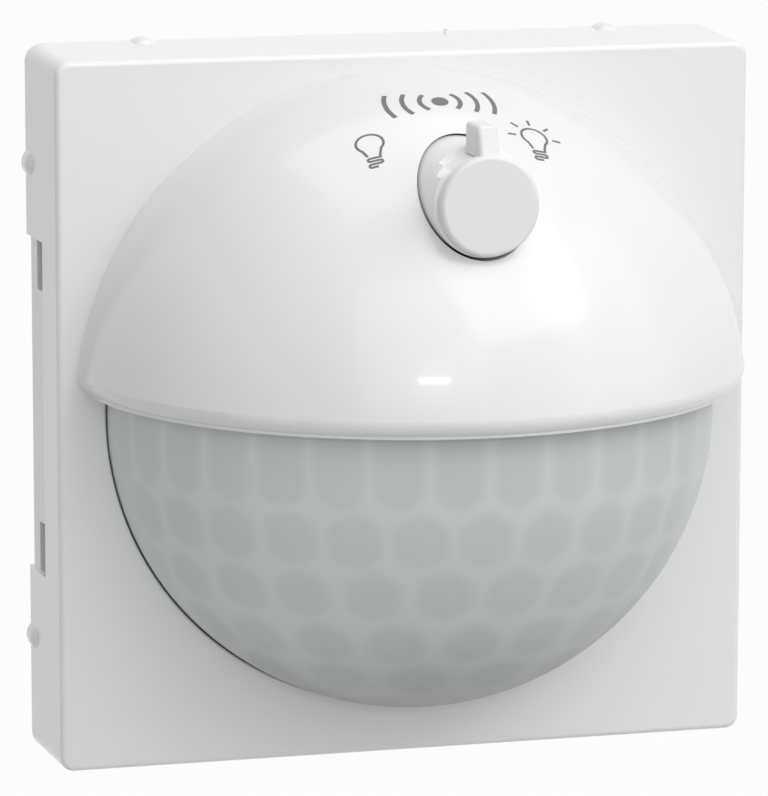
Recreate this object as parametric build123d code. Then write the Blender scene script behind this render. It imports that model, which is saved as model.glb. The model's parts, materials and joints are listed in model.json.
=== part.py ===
from build123d import *
import os
from math import asin, atan, cos, degrees, radians, sin, sqrt, tan

# Motion sensor light switch: a square cover with a quarter dome hood, a lens and a selector knob.
# Millimetres. The origin is the centre of the flat rear face. +X is right, +Y goes back to the wall,
# +Z is up, and the dome faces -Y. Distances "ahead" are measured from the cover's front face.

# Cover
cover_width = 71.0
skirt_depth = 12.6
skirt_flare = 0.45
cover_thickness = 2.0
skirt_wall = 1.6
cover_corner = 1.3
cover_edge_round = 0.6
cavity_corner = 1.0

# Side skirts: snap lugs on all four, and a shallow relief with two latch windows left and right
lug_corner_distance = 11.4
lug_radius = 1.7
lug_height = 0.45
lug_length = 1.6
relief_corner_distance = 18.6
relief_front = 6.5
relief_rear_cut = 1.5
relief_depth_front = 0.45
relief_depth_rear = 0.1
window_length = 5.0
window_width = 3.1
window_inset = 0.1
gate_pip_x = 7.3
gate_pip_rear_distance = 1.0
gate_pip_radius = 0.22
gate_pip_height = 0.35

# Dome: hood above, lens below, both round one centre on the cover's front face
dome_rise = 0.4
hood_side_margin = 1.6
hood_wall = 1.9
lens_under_hood = 1.45
lens_wall = 1.1
lens_gap = 0.2
opening_edge_break = 0.15
rim_height = 2.3
rim_land = 0.28
rim_round = 1.5
rim_end_angle = 70.0
ledge_height = 1.5
lens_bead_gap = 0.15
lens_bead_height = 1.2
lens_bead_proud = 0.8
lens_flange_width = 2.1
lens_flange_thickness = 1.0
flange_play = 0.05

# Lens cells: dimples inside the lens, in rows round the dome's upright axis
cell_depth = 0.3
cell_angle = 5.0
cell_undercut = 0.05
cell_azimuth_limit = 76.0
cell_row_elevations = (-3.9, -16.1, -27.9, -40.2, -52.3)
cell_row_pitches = (10.9, 12.45, 14.7, 17.8, 24.4)
cell_row_offset_shares = (0.5, 0.0, 0.5, 0.0, 0.5)

# Lens clamp ring and its screws
ring_inner_gap = 0.1
ring_thickness = 1.5
ring_ear_reach = 1.63
ring_ear_radius = 2.3
ring_boss_radius = 2.0
locating_rib_gap = 0.15
locating_rib_wall = 0.55

# Selector knob: a barrel that widens a little towards its rear, and a cap with the pointer
knob_radius = 5.13
knob_rear_radius = 5.16
knob_hole_radius = 5.36
knob_sink = 0.52
knob_length = 14.9
knob_cap_radius = 4.8
knob_cap_thickness = 1.65
knob_cap_round = 0.4
cap_groove_width = 0.4
cap_groove_depth = 0.35
cap_spigot_radius = 1.3
cap_spigot_length = 1.4
cap_spigot_fit = 0.05
knob_wall = 1.2
knob_hub_radius = 2.9
pocket_length = 3.65
pocket_floor_radius = 4.5
pocket_half_angle = 46.0
pocket_ramp_angle = 14.0
pocket_ramp_length = 1.7
pointer_thickness = 2.0
pointer_reach = 7.47
pointer_rear_gap = 0.1
pointer_setback = 0.35
pointer_lean = 1.1
pointer_round = 0.45
knob_swing = 60.0

# Guide tube behind the hood, spindle and its retaining clip
guide_wall = 1.3
knob_end_gap = 0.5
guide_web_thickness = 1.5
spindle_radius = 1.6
spindle_fit = 0.05
spindle_setback = 2.3
spindle_flat_share = 0.72
clip_thickness = 0.6
clip_radius = 3.2
clip_groove_depth = 0.3
clip_play = 0.2
clip_mouth_share = 0.8

# Main circuit board
board_gap = 0.45
board_thickness = 1.6
board_side_gap = 8.9
board_top_margin = 0.8
board_chamfer = 8.0
board_top_half_width = 13.0
board_screw_inset = 4.0

# Rotary switch on the board, behind the knob
switch_half = 4.3
switch_top_gap = 1.43
switch_depth = 4.6
switch_floor = 1.0
switch_cavity_radius = 3.75
switch_cover_thickness = 0.8
rotor_radius = 3.45
rotor_neck_radius = 2.2
rotor_neck_gap = 0.06
rotor_thickness = 1.9
rotor_end_gap = 0.15
rotor_nose = 1.6
rotor_notch_radius = 0.45
socket_fit = 0.04
socket_floor = 0.7
wiper_thickness = 0.2
wiper_length = 5.8
wiper_width = 1.5
contact_pad_size = 1.3
contact_gap = 0.12
contact_circle_radius = 2.2
detent_thickness = 0.25
detent_length = 3.0
detent_height = 1.4
detent_bump = 0.3
detent_bump_half = 0.6
detent_gap = 0.06

# Infrared sensors on two angled boards
sensor_yaw = 38.0
sensor_side = 7.6
sensor_ahead = 0.6
can_radius = 4.55
can_height = 4.3
can_flange_radius = 4.95
can_flange_height = 0.6
window_glass_width = 4.8
window_glass_height = 3.6
window_glass_depth = 0.5
sensor_board_half = 6.0
sensor_board_thickness = 1.0
sensor_pin_radius = 0.25
sensor_pin_circle = 2.54
sensor_pin_tail = 1.2
holder_half_height = 5.2
holder_wall = 1.2
holder_gap = 0.1
holder_pin_gap = 0.2
link_pin_size = 0.5
link_pin_pitch = 2.0
link_pin_count = 3
link_pin_side = 9.3

# Parts on the board's front
lamp_x_share = 0.4
lamp_drop = 0.9
lamp_body_radius = 1.5
lamp_flange_radius = 1.9
lamp_flange_height = 1.0
lamp_length = 5.2
light_sensor_radius = 2.5
light_sensor_length = 7.4
capacitor_gap = 0.65
capacitor_raise = 2.3
capacitor_radius = 3.15
capacitor_length = 8.5
groove_floor_share = 0.93
groove_place_share = 0.5
groove_width_share = 0.25
capacitor_small_radius = 2.5
capacitor_small_length = 6.5
controller_half_width = 3.6
controller_half_height = 2.6
controller_thickness = 1.5
controller_edge_gap = 0.9
chip_x_share = 0.38
chip_half_width = 2.5
chip_half_height = 2.0
chip_thickness = 1.4
chip_leg_width = 0.4
chip_leg_pitch = 1.27
chip_leg_reach = 1.0
chip_leg_thickness = 0.2
chip_leg_count = 4
controller_leg_count = 5
crystal_x_share = 0.4
crystal_half = 1.6
crystal_height = 3.2
small_part_length = 1.6
small_part_width = 0.8
small_part_height = 0.5
small_part_pitch = 2.2
small_part_count = 5

# Three adjusters behind the board, reached from the rear
adjuster_count = 3
adjuster_pitch = 13.0
adjuster_z = 15.0
adjuster_half = 3.3
adjuster_height = 3.2
adjuster_rotor_radius = 1.6
adjuster_rotor_height = 3.2
adjuster_bore_depth = 1.4
adjuster_fit = 0.06
adjuster_slot_width = 0.6
adjuster_slot_depth = 0.8
adjuster_access_gap = 0.35
adjuster_recess_gap = 0.4

# Plug connector at the rear
plug_columns = 5
plug_rows = 2
plug_pitch = 2.54
plug_pin_size = 0.64
plug_pin_reach = 6.5
plug_pin_tail = 1.2
plug_base_reach = 1.5
plug_base_margin = 0.2
plug_z_share = 0.48
plug_gap = 0.25

# Rear cover
rear_cover_gap = 0.25
rear_cover_thickness = 2.2
rear_cover_corner = 0.9
post_radius = 2.2
peg_radius = 1.5
peg_length = 4.0
peg_x = 15.0
peg_z = -12.0
hook_width = 4.4
hook_thickness = 1.2
hook_gap = 0.3
hook_nose = 0.95
hook_clearance = 0.15
corner_screw_inset = 3.2
corner_boss_radius = 2.5
corner_boss_gap = 0.05

# Screws
screw_radius = 0.9
screw_head_radius = 1.7
screw_head_height = 1.1
screw_length = 4.0
long_screw_length = 7.5
screw_slot_width = 0.45
screw_slot_depth = 0.5
screw_hole_gap = 0.15
head_gap = 0.2

# Overruns for cuts, and a quarter and a half turn in degrees
over = 1.0
far = 200.0
right_angle = 90
half_turn = 180

# Places worked out from the sizes above: cover and side skirts
front_y = -skirt_depth
inner_y = front_y + cover_thickness
half_width = cover_width / 2
half_rear = half_width + skirt_flare
cavity_half = half_width - skirt_wall
lug_offset = half_width - lug_corner_distance
relief_half = half_width - relief_corner_distance
window_offset = relief_half - window_inset - window_length / 2
corner_screw_offset = cavity_half - corner_screw_inset

# Dome, lens flange and clamp ring
hood_radius = half_width - hood_side_margin
hood_inner_radius = hood_radius - hood_wall
lens_radius = hood_inner_radius - lens_under_hood
lens_inner_radius = lens_radius - lens_wall
opening_radius = lens_radius + lens_gap
lens_flange_radius = lens_radius + lens_flange_width
ring_inner_radius = lens_inner_radius + ring_inner_gap
ring_outer_radius = lens_flange_radius + locating_rib_gap + locating_rib_wall
ring_ear_offset = (ring_outer_radius + ring_ear_reach) * sqrt(1 / 2)
flange_front_y = inner_y + flange_play
flange_rear_y = flange_front_y + lens_flange_thickness
ring_rear_y = flange_rear_y + ring_thickness
ledge_top = rim_height + ledge_height
lens_top = ledge_top + lens_bead_gap + lens_bead_height

# Knob, its guide web and its clip
knob_height = dome_rise + ring_inner_radius - switch_top_gap - switch_half
hood_at_hole = sqrt(hood_radius ** 2 - (knob_height - knob_hole_radius - dome_rise) ** 2)
knob_body_front = hood_at_hole - knob_sink
knob_body_rear = knob_body_front - knob_length
cap_front = knob_body_front + knob_cap_thickness
pocket_rear = knob_body_front - pocket_length
pointer_rear = pocket_rear + pointer_rear_gap
spindle_front = knob_body_front - spindle_setback
guide_web_front = knob_body_rear - knob_end_gap
clip_front = guide_web_front - guide_web_thickness - clip_play

# Main board and rotary switch
board_front_y = ring_rear_y + board_gap
board_rear_y = board_front_y + board_thickness
board_half_width = cavity_half - board_side_gap
board_top = knob_height + switch_half + board_top_margin
board_screw_x = board_half_width - board_screw_inset
board_screw_z = board_half_width - board_chamfer - board_screw_inset
plug_z = -board_half_width * plug_z_share
lamp_x = board_half_width * lamp_x_share
lamp_z = dome_rise - sensor_board_half - lamp_drop - light_sensor_radius
controller_z = controller_edge_gap + chip_leg_reach + controller_half_height - board_half_width
chip_x = board_half_width * chip_x_share
crystal_x = -board_half_width * crystal_x_share
capacitor_x = chip_x + chip_half_width + capacitor_gap + capacitor_radius
capacitor_small_x = crystal_x - crystal_half * 2 - capacitor_gap - capacitor_small_radius
capacitor_z = controller_z + capacitor_raise
switch_front_y = board_front_y - switch_depth
cover_plate_front_y = switch_front_y - switch_cover_thickness
rotor_front_y = switch_front_y - rotor_nose
rotor_top_y = switch_front_y + rotor_end_gap
rotor_rear_y = rotor_top_y + rotor_thickness
socket_floor_y = rotor_rear_y - socket_floor

# Rear cover
cover_inner_y = -rear_cover_thickness
cover_screw_y = -screw_head_height - head_gap / 2


def ahead(distance):
    """Y of a plane this far in front of the cover's front face."""
    return front_y - distance


def block(x0, x1, y0, y1, z0, z1):
    """A box between two corners."""
    centre = Pos((x0 + x1) / 2, (y0 + y1) / 2, (z0 + z1) / 2)
    return centre * Box(abs(x1 - x0), abs(y1 - y0), abs(z1 - z0))


def rod(radius, y0, y1, x=0.0, z=0.0):
    """A cylinder along Y."""
    return Pos(x, (y0 + y1) / 2, z) * Rot(right_angle, 0, 0) * Cylinder(radius, abs(y1 - y0))


def tube(outer, inner, y0, y1, x=0.0, z=0.0):
    """A ring along Y."""
    low = min(y0, y1)
    high = max(y0, y1)
    return rod(outer, low, high, x, z) - rod(inner, low - over, high + over, x, z)


def ball(radius):
    """A ball round the dome's centre."""
    return Pos(0, front_y, dome_rise) * Sphere(radius)


def prism_along_z(points, z0, z1):
    """An upright prism on an outline of (x, y) points."""
    face = make_face(Polyline(*points, close=True))
    return Pos(0, 0, z0) * extrude(face, amount=z1 - z0, dir=(0, 0, 1))


def prism_along_x(points, x0, x1):
    """A prism along X on an outline of (y, z) points."""
    outline = [(x0, y, z) for y, z in points]
    face = make_face(Polyline(*outline, close=True))
    return extrude(face, amount=x1 - x0, dir=(1, 0, 0))


def prism_along_y(points, y0, y1):
    """A prism along Y on an outline of (x, z) points."""
    outline = [(x, y0, z) for x, z in points]
    face = make_face(Polyline(*outline, close=True))
    return extrude(face, amount=y1 - y0, dir=(0, 1, 0))


def d_rod(radius, y0, y1, flat_share, x=0.0, z=0.0):
    """A cylinder along Y with one flat on its upper side."""
    flat_z = z + radius * flat_share
    above = block(x - far, x + far, y0 - over, y1 + over, flat_z, flat_z + far)
    return rod(radius, y0, y1, x, z) - above


def joined(shapes):
    """All shapes fused into one."""
    total = shapes[0]
    for shape in shapes[1:]:
        total = total + shape
    return total


def group(shapes):
    """Separate solids kept side by side in one node."""
    solids = []
    for shape in shapes:
        solids.extend(shape.solids())
    return Compound(children=solids)


def screw(x, z, head_y, length, head_outwards=1):
    """A slotted pan screw along Y: its head lies on head_y and stands towards +Y or -Y."""
    tip_y = head_y - head_outwards * length
    top_y = head_y + head_outwards * screw_head_height
    shank = rod(screw_radius, tip_y, head_y, x, z)
    head = rod(screw_head_radius, head_y, top_y, x, z)
    slot_floor = top_y - head_outwards * screw_slot_depth
    slot = block(x - screw_head_radius - over, x + screw_head_radius + over, slot_floor,
                 top_y + head_outwards * over, z - screw_slot_width / 2, z + screw_slot_width / 2)
    return shank + head - slot


def four_corners(offset_x, offset_z):
    """The four places at plus and minus these offsets."""
    return [(sx * offset_x, sz * offset_z) for sx in (-1, 1) for sz in (-1, 1)]


# Front cover: the plate, its skirt and the hood are one moulding

def skirt_box():
    outline = Plane.XZ * RectangleRounded(half_rear * 2, half_rear * 2, cover_corner + skirt_flare)
    draft = degrees(atan(skirt_flare / skirt_depth))
    body = extrude(outline, amount=skirt_depth, taper=draft)
    front_edges = body.faces().sort_by(Axis.Y)[0].edges()
    return fillet(front_edges, cover_edge_round)


def snap_lug(across):
    axis_z = half_rear + lug_height - lug_radius
    straight = rod(lug_radius, -lug_length, 0, across, axis_z)
    nose = Pos(across, -lug_length, axis_z) * Sphere(lug_radius)
    return straight + nose


def side_relief():
    wall_at_front = half_rear - skirt_flare * relief_front / skirt_depth
    wall_at_rear = half_rear - skirt_flare * relief_rear_cut / skirt_depth
    outline = [(wall_at_front - relief_depth_front, -relief_front),
               (half_rear + over, -relief_front),
               (half_rear + over, -relief_rear_cut),
               (wall_at_rear - relief_depth_rear, -relief_rear_cut)]
    shallow = prism_along_z(outline, -relief_half, relief_half)
    rear = block(cavity_half - over, half_rear + over, -relief_rear_cut, over, -relief_half, relief_half)
    return shallow + rear


def gate_pip():
    """The small moulding pip left on the top edge."""
    tip_z = half_rear + gate_pip_height
    middle_z = (tip_z + cavity_half) / 2
    pip = Cylinder(gate_pip_radius, tip_z - cavity_half)
    return Pos(gate_pip_x, -gate_pip_rear_distance, middle_z) * pip


def latch_window(z):
    return block(cavity_half - over, half_rear + over, -relief_front, -relief_front + window_width,
                 z - window_length / 2, z + window_length / 2)


def opening_edge():
    """The broken front edge of the round opening that the lens looks out of."""
    wide = opening_radius + opening_edge_break
    cone = Cone(opening_radius, wide, opening_edge_break)
    return Pos(0, front_y + opening_edge_break / 2, dome_rise) * Rot(right_angle, 0, 0) * cone


def hood_profile():
    """Half section of the hood, as (radius, height) round the dome's upright axis."""
    end = radians(rim_end_angle)
    land_top = rim_height + rim_land
    core = hood_radius - rim_round
    lift = asin((land_top + rim_round * sin(end)) / core)
    round_centre = (core * cos(lift), core * sin(lift))
    round_start = (hood_radius * cos(lift), hood_radius * sin(lift))
    round_end = (round_centre[0] + rim_round * cos(end), land_top)
    round_mid_angle = (lift - end) / 2
    round_mid = (round_centre[0] + rim_round * cos(round_mid_angle),
                 round_centre[1] + rim_round * sin(round_mid_angle))
    ledge_low = (sqrt(opening_radius ** 2 - rim_height ** 2), rim_height)
    ledge_high = (sqrt(opening_radius ** 2 - ledge_top ** 2), ledge_top)
    ledge_mid_z = (rim_height + ledge_top) / 2
    ledge_mid = (sqrt(opening_radius ** 2 - ledge_mid_z ** 2), ledge_mid_z)
    inner_low = (sqrt(hood_inner_radius ** 2 - ledge_top ** 2), ledge_top)
    diagonal = sqrt(1 / 2)
    inner_mid = (hood_inner_radius * diagonal, hood_inner_radius * diagonal)
    outer_mid = (hood_radius * diagonal, hood_radius * diagonal)
    inner_pole = (0, hood_inner_radius)
    outer_pole = (0, hood_radius)

    def at(point):
        return (point[0], 0, point[1])

    lines = [
        ThreePointArc(at(outer_pole), at(outer_mid), at(round_start)),
        ThreePointArc(at(round_start), at(round_mid), at(round_end)),
        Line(at(round_end), at((round_end[0], rim_height))),
        Line(at((round_end[0], rim_height)), at(ledge_low)),
        ThreePointArc(at(ledge_low), at(ledge_mid), at(ledge_high)),
        Line(at(ledge_high), at(inner_low)),
        ThreePointArc(at(inner_low), at(inner_mid), at(inner_pole)),
        Line(at(inner_pole), at(outer_pole)),
    ]
    return make_face(Wire(lines))


def hood():
    shell = revolve(hood_profile(), axis=Axis.Z)
    placed = Pos(0, front_y, dome_rise) * shell
    kept = block(-far, far, -far, front_y + cover_thickness / 2, -far, far)
    return placed & kept


def guide_tube():
    """The tube that the knob turns in, with a bored web at its rear end."""
    outer = rod(knob_hole_radius + guide_wall, ahead(hood_radius),
                ahead(guide_web_front - guide_web_thickness), 0, knob_height)
    return outer & ball(hood_inner_radius + hood_wall / 2)


def make_front_cover():
    body = skirt_box()
    for quarter in range(4):
        for side in (-1, 1):
            body = body + Rot(0, quarter * right_angle, 0) * snap_lug(side * lug_offset)
    body = body - block(-far, far, 0, far, -far, far)
    cavity = Plane.XZ * RectangleRounded(cavity_half * 2, cavity_half * 2, cavity_corner)
    body = body - extrude(cavity, amount=skirt_depth - cover_thickness)
    for turn in (0, half_turn):
        body = body - Rot(0, turn, 0) * side_relief()
        for side in (-1, 1):
            body = body - Rot(0, turn, 0) * latch_window(side * window_offset)
    body = body + gate_pip()
    body = body - rod(opening_radius, front_y - over, inner_y + over, 0, dome_rise)
    body = body - opening_edge()
    body = body + hood() + guide_tube()
    body = body - rod(knob_hole_radius, ahead(hood_radius + over), ahead(guide_web_front), 0, knob_height)
    web_bore = spindle_radius + spindle_fit
    body = body - rod(web_bore, ahead(guide_web_front + over), ahead(over), 0, knob_height)
    rib_inner = lens_flange_radius + locating_rib_gap
    body = body + tube(ring_outer_radius, rib_inner, inner_y, flange_rear_y, 0, dome_rise)
    for x, z in four_corners(ring_ear_offset, ring_ear_offset):
        boss = rod(ring_boss_radius, inner_y, flange_rear_y, x, z + dome_rise)
        hole = rod(screw_radius, ring_rear_y - screw_length, flange_rear_y + over, x, z + dome_rise)
        body = body + boss - hole
    for x, z in four_corners(corner_screw_offset, corner_screw_offset):
        boss = rod(corner_boss_radius, inner_y, cover_inner_y - corner_boss_gap, x, z)
        hole = rod(screw_radius, cover_screw_y - long_screw_length, over, x, z)
        body = body + boss - hole
    return body


# Lens and the ring that clamps it

def cell_centres():
    """Azimuth and elevation of every lens cell, in degrees."""
    places = []
    rows = zip(cell_row_elevations, cell_row_pitches, cell_row_offset_shares)
    for elevation, pitch, offset_share in rows:
        reach = int(cell_azimuth_limit / pitch)
        for step in range(-reach - 1, reach + 1):
            azimuth = (step + offset_share) * pitch
            if abs(azimuth) <= cell_azimuth_limit:
                places.append((azimuth, elevation))
    return places


def cell_cutter():
    """A small cap, upright on +Z from the dome's centre, that hollows one lens cell from inside."""
    half = radians(cell_angle)
    top = lens_inner_radius + cell_depth
    edge = lens_inner_radius * cos(half)
    centre = (top ** 2 - lens_inner_radius ** 2) / (2 * (top - edge))
    curve = top - centre
    low = edge - cell_undercut
    low_width = sqrt(curve ** 2 - (low - centre) ** 2)
    mid_width = low_width / 2
    mid = centre + sqrt(curve ** 2 - mid_width ** 2)
    base = low - cell_depth
    base_width = low_width * base / low
    outline = Wire([
        Line((0, 0, base), (base_width, 0, base)),
        Line((base_width, 0, base), (low_width, 0, low)),
        ThreePointArc((low_width, 0, low), (mid_width, 0, mid), (0, 0, top)),
        Line((0, 0, top), (0, 0, base)),
    ])
    return revolve(make_face(outline), axis=Axis.Z)


def make_lens():
    shell = ball(lens_radius) - ball(lens_inner_radius)
    top_z = dome_rise + lens_top
    bead = ball(lens_radius + lens_bead_proud) - ball(lens_inner_radius)
    bead_z = dome_rise + ledge_top + lens_bead_gap
    ahead_half = block(-far, far, -far, front_y, -far, top_z)
    dome = (shell & ahead_half) + (bead & block(-far, far, -far, front_y, bead_z, top_z))
    collar = tube(lens_radius, lens_inner_radius, front_y, flange_rear_y, 0, dome_rise)
    collar = collar & block(-far, far, -far, far, -far, top_z)
    flange = tube(lens_flange_radius, lens_inner_radius, flange_front_y, flange_rear_y, 0, dome_rise)
    lens = dome + collar + flange
    cutter = cell_cutter()
    centre = Pos(0, front_y, dome_rise)
    cutters = []
    for azimuth, elevation in cell_centres():
        cutters.append(centre * Rot(0, 0, azimuth) * Rot(right_angle - elevation, 0, 0) * cutter)
    return lens - cutters


def make_clamp_ring():
    ring = tube(ring_outer_radius, ring_inner_radius, flange_rear_y, ring_rear_y, 0, dome_rise)
    for x, z in four_corners(ring_ear_offset, ring_ear_offset):
        ear = rod(ring_ear_radius, flange_rear_y, ring_rear_y, x, z + dome_rise)
        ring = ring + ear
    for x, z in four_corners(ring_ear_offset, ring_ear_offset):
        ring = ring - rod(screw_radius + screw_hole_gap, flange_rear_y - over, ring_rear_y + over,
                          x, z + dome_rise)
    return ring


def make_ring_screws():
    places = four_corners(ring_ear_offset, ring_ear_offset)
    return group([screw(x, z + dome_rise, ring_rear_y, screw_length) for x, z in places])


# Selector knob, turning as one

def pocket():
    """The relief under the pointer: a sector with a ramp at each end."""
    outer = knob_rear_radius + over
    front = ahead(knob_body_front + over)
    rear = ahead(pocket_rear)
    ramp_rear = ahead(knob_body_front - pocket_ramp_length)
    deep = tube(outer, pocket_floor_radius, front, rear, 0, knob_height)
    reach = outer / cos(radians(pocket_half_angle))
    half = radians(pocket_half_angle)
    wedge = [(0, knob_height),
             (-reach * sin(half), knob_height + reach * cos(half)),
             (reach * sin(half), knob_height + reach * cos(half))]
    sector = prism_along_y(wedge, front, rear)
    shape = deep & sector
    ramp_half = radians(pocket_half_angle + pocket_ramp_angle)
    for side in (-1, 1):
        foot = (side * pocket_floor_radius * sin(half), knob_height + pocket_floor_radius * cos(half))
        top = (side * knob_rear_radius * sin(ramp_half), knob_height + knob_rear_radius * cos(ramp_half))
        out = (side * outer * sin(half), knob_height + outer * cos(half))
        shape = shape + prism_along_y([foot, top, out], front, ramp_rear)
    return shape


def pointer():
    """The pointer, a blade over the pocket that leans back a little behind the cap's face."""
    foot_z = knob_height + pocket_floor_radius
    tip_z = knob_height + pointer_reach
    outline = [(ahead(pointer_rear), foot_z),
               (ahead(pointer_rear), tip_z),
               (ahead(cap_front - pointer_setback - pointer_lean), tip_z),
               (ahead(cap_front - pointer_setback), foot_z)]
    blade = prism_along_x(outline, -pointer_thickness / 2, pointer_thickness / 2)
    rear_edges = blade.faces().sort_by(Axis.Y)[-1].edges()
    foot_edges = blade.faces().sort_by(Axis.Z)[0].edges()
    sharp_edges = list(rear_edges) + list(foot_edges)
    return fillet([edge for edge in blade.edges() if edge not in sharp_edges], pointer_round)


def make_knob_body():
    middle_y = ahead((knob_body_front + knob_body_rear) / 2)
    barrel = Cone(knob_rear_radius, knob_radius, knob_length)
    body = Pos(0, middle_y, knob_height) * Rot(right_angle, 0, 0) * barrel
    body = body - pocket()
    spigot_bore = rod(cap_spigot_radius + cap_spigot_fit, ahead(knob_body_front + over),
                      ahead(knob_body_front - cap_spigot_length - cap_spigot_fit), 0, knob_height)
    body = body - spigot_bore
    hollow = tube(knob_radius - knob_wall, knob_hub_radius, ahead(pocket_rear - knob_wall),
                  ahead(knob_body_rear - over), 0, knob_height)
    body = body - hollow
    bore = d_rod(spindle_radius + socket_fit, ahead(spindle_front + socket_fit),
                 ahead(knob_body_rear - over), spindle_flat_share, 0, knob_height)
    return body - bore


def make_knob_cap():
    """A disc with a shadow groove behind it, a spigot into the barrel, and the pointer."""
    disc = rod(knob_cap_radius, ahead(cap_front), ahead(knob_body_front), 0, knob_height)
    front_edges = disc.faces().sort_by(Axis.Y)[0].edges()
    disc = fillet(front_edges, knob_cap_round)
    groove = tube(knob_cap_radius + over, knob_cap_radius - cap_groove_depth,
                  ahead(knob_body_front + cap_groove_width), ahead(knob_body_front - over), 0, knob_height)
    spigot = rod(cap_spigot_radius, ahead(knob_body_front), ahead(knob_body_front - cap_spigot_length),
                 0, knob_height)
    return disc - groove + spigot + pointer()


def make_spindle():
    shaft = d_rod(spindle_radius, ahead(spindle_front), socket_floor_y, spindle_flat_share, 0, knob_height)
    round_part = rod(spindle_radius, ahead(knob_body_rear - clip_play), rotor_front_y - clip_play,
                     0, knob_height)
    shaft = shaft + round_part
    groove = tube(spindle_radius + over, spindle_radius - clip_groove_depth, ahead(clip_front),
                  ahead(clip_front - clip_thickness), 0, knob_height)
    return shaft - groove


def make_spindle_clip():
    ring = tube(clip_radius, spindle_radius - clip_groove_depth, ahead(clip_front),
                ahead(clip_front - clip_thickness), 0, knob_height)
    mouth = spindle_radius * clip_mouth_share
    cut = block(-mouth, mouth, ahead(clip_front + over), ahead(clip_front - clip_thickness - over),
                knob_height - clip_radius - over, knob_height)
    return ring - cut


# Rotary switch

def make_switch_base():
    base = block(-switch_half, switch_half, switch_front_y, board_front_y, knob_height - switch_half,
                 knob_height + switch_half)
    floor_y = board_front_y - switch_floor
    base = base - rod(switch_cavity_radius, switch_front_y - over, floor_y, 0, knob_height)
    slot_low = knob_height - rotor_radius - detent_gap - detent_bump - detent_thickness - detent_gap
    slot_half = detent_length / 2 + detent_gap
    slot = block(-slot_half, slot_half, switch_front_y - over, switch_front_y + rotor_end_gap + detent_height
                 + detent_gap, slot_low, knob_height)
    return base - slot


def make_switch_cover():
    cover = block(-switch_half, switch_half, cover_plate_front_y, switch_front_y, knob_height - switch_half,
                  knob_height + switch_half)
    return cover - rod(rotor_neck_radius + rotor_neck_gap, cover_plate_front_y - over, switch_front_y + over,
                       0, knob_height)


def make_rotor():
    rotor = rod(rotor_radius, rotor_top_y, rotor_rear_y, 0, knob_height)
    rotor = rotor + rod(rotor_neck_radius, rotor_front_y, rotor_top_y, 0, knob_height)
    for turn in (-knob_swing, 0, knob_swing):
        x = rotor_radius * sin(radians(turn))
        z = knob_height - rotor_radius * cos(radians(turn))
        rotor = rotor - rod(rotor_notch_radius, rotor_top_y - over, rotor_rear_y + over, x, z)
    socket = d_rod(spindle_radius + socket_fit, rotor_front_y - over, socket_floor_y + socket_fit,
                   spindle_flat_share, 0, knob_height)
    return rotor - socket


def make_wiper():
    arm = block(-wiper_width / 2, wiper_width / 2, rotor_rear_y, rotor_rear_y + wiper_thickness,
                knob_height - wiper_length / 2, knob_height + wiper_length / 2)
    return arm


def make_contacts():
    top_y = rotor_rear_y + wiper_thickness + contact_gap
    floor_y = board_front_y - switch_floor
    pads = []
    for turn in (-knob_swing, 0, knob_swing, half_turn):
        x = contact_circle_radius * sin(radians(turn))
        z = knob_height + contact_circle_radius * cos(radians(turn))
        half = contact_pad_size / 2
        pads.append(block(x - half, x + half, top_y, floor_y, z - half, z + half))
    return group(pads)


def make_detent_spring():
    """A leaf under the rotor whose bump drops into the rotor's notches."""
    top = knob_height - rotor_radius - detent_gap
    low = top - detent_bump
    y0 = switch_front_y + rotor_end_gap
    y1 = y0 + detent_height
    leaf = block(-detent_length / 2, detent_length / 2, y0, y1, low - detent_thickness, low)
    bump_points = [(-detent_bump_half, low), (0, top), (detent_bump_half, low)]
    return leaf + prism_along_y(bump_points, y0, y1)


# Circuit board and what stands on it

def make_board():
    w = board_half_width
    side = w - board_chamfer
    outline = [(-side, -w), (side, -w), (w, -side), (w, side), (board_top_half_width, board_top),
               (-board_top_half_width, board_top), (-w, side), (-w, -side)]
    board = prism_along_y(outline, board_front_y, board_rear_y)
    for x, z in four_corners(board_screw_x, board_screw_z):
        board = board - rod(screw_radius + screw_hole_gap, board_front_y - over, board_rear_y + over, x, z)
    for x, z in plug_places():
        half = plug_pin_size / 2 + socket_fit
        board = board - block(x - half, x + half, board_front_y - over, board_rear_y + over,
                              z - half, z + half)
    return board


def make_board_screws():
    places = four_corners(board_screw_x, board_screw_z)
    return group([screw(x, z, board_front_y, screw_length, -1) for x, z in places])


def sensor_frame(side):
    """Location of one angled sensor: local -Y is the way it looks."""
    return Pos(side * sensor_side, ahead(sensor_ahead), dome_rise) * Rot(0, 0, side * sensor_yaw)


def make_sensor_can(side):
    can = rod(can_radius, -can_height, 0) + rod(can_flange_radius, -can_flange_height, 0)
    front_edges = can.faces().sort_by(Axis.Y)[0].edges()
    can = fillet(front_edges, can_flange_height / 2)
    can = can - block(-window_glass_width / 2, window_glass_width / 2, -can_height - over,
                      -can_height + window_glass_depth, -window_glass_height / 2, window_glass_height / 2)
    return sensor_frame(side) * can


def make_sensor_window(side):
    inset = holder_gap / 2
    glass = block(-window_glass_width / 2 + inset, window_glass_width / 2 - inset,
                  -can_height + inset, -can_height + window_glass_depth,
                  -window_glass_height / 2 + inset, window_glass_height / 2 - inset)
    return sensor_frame(side) * glass


def sensor_pin_places():
    return [(sensor_pin_circle * sin(radians(turn)), sensor_pin_circle * cos(radians(turn)))
            for turn in (0, right_angle, half_turn)]


def make_sensor_pins(side):
    pins = []
    for x, z in sensor_pin_places():
        pins.append(rod(sensor_pin_radius, 0, sensor_board_thickness + sensor_pin_tail, x, z))
    return group([sensor_frame(side) * pin for pin in pins])


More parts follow.
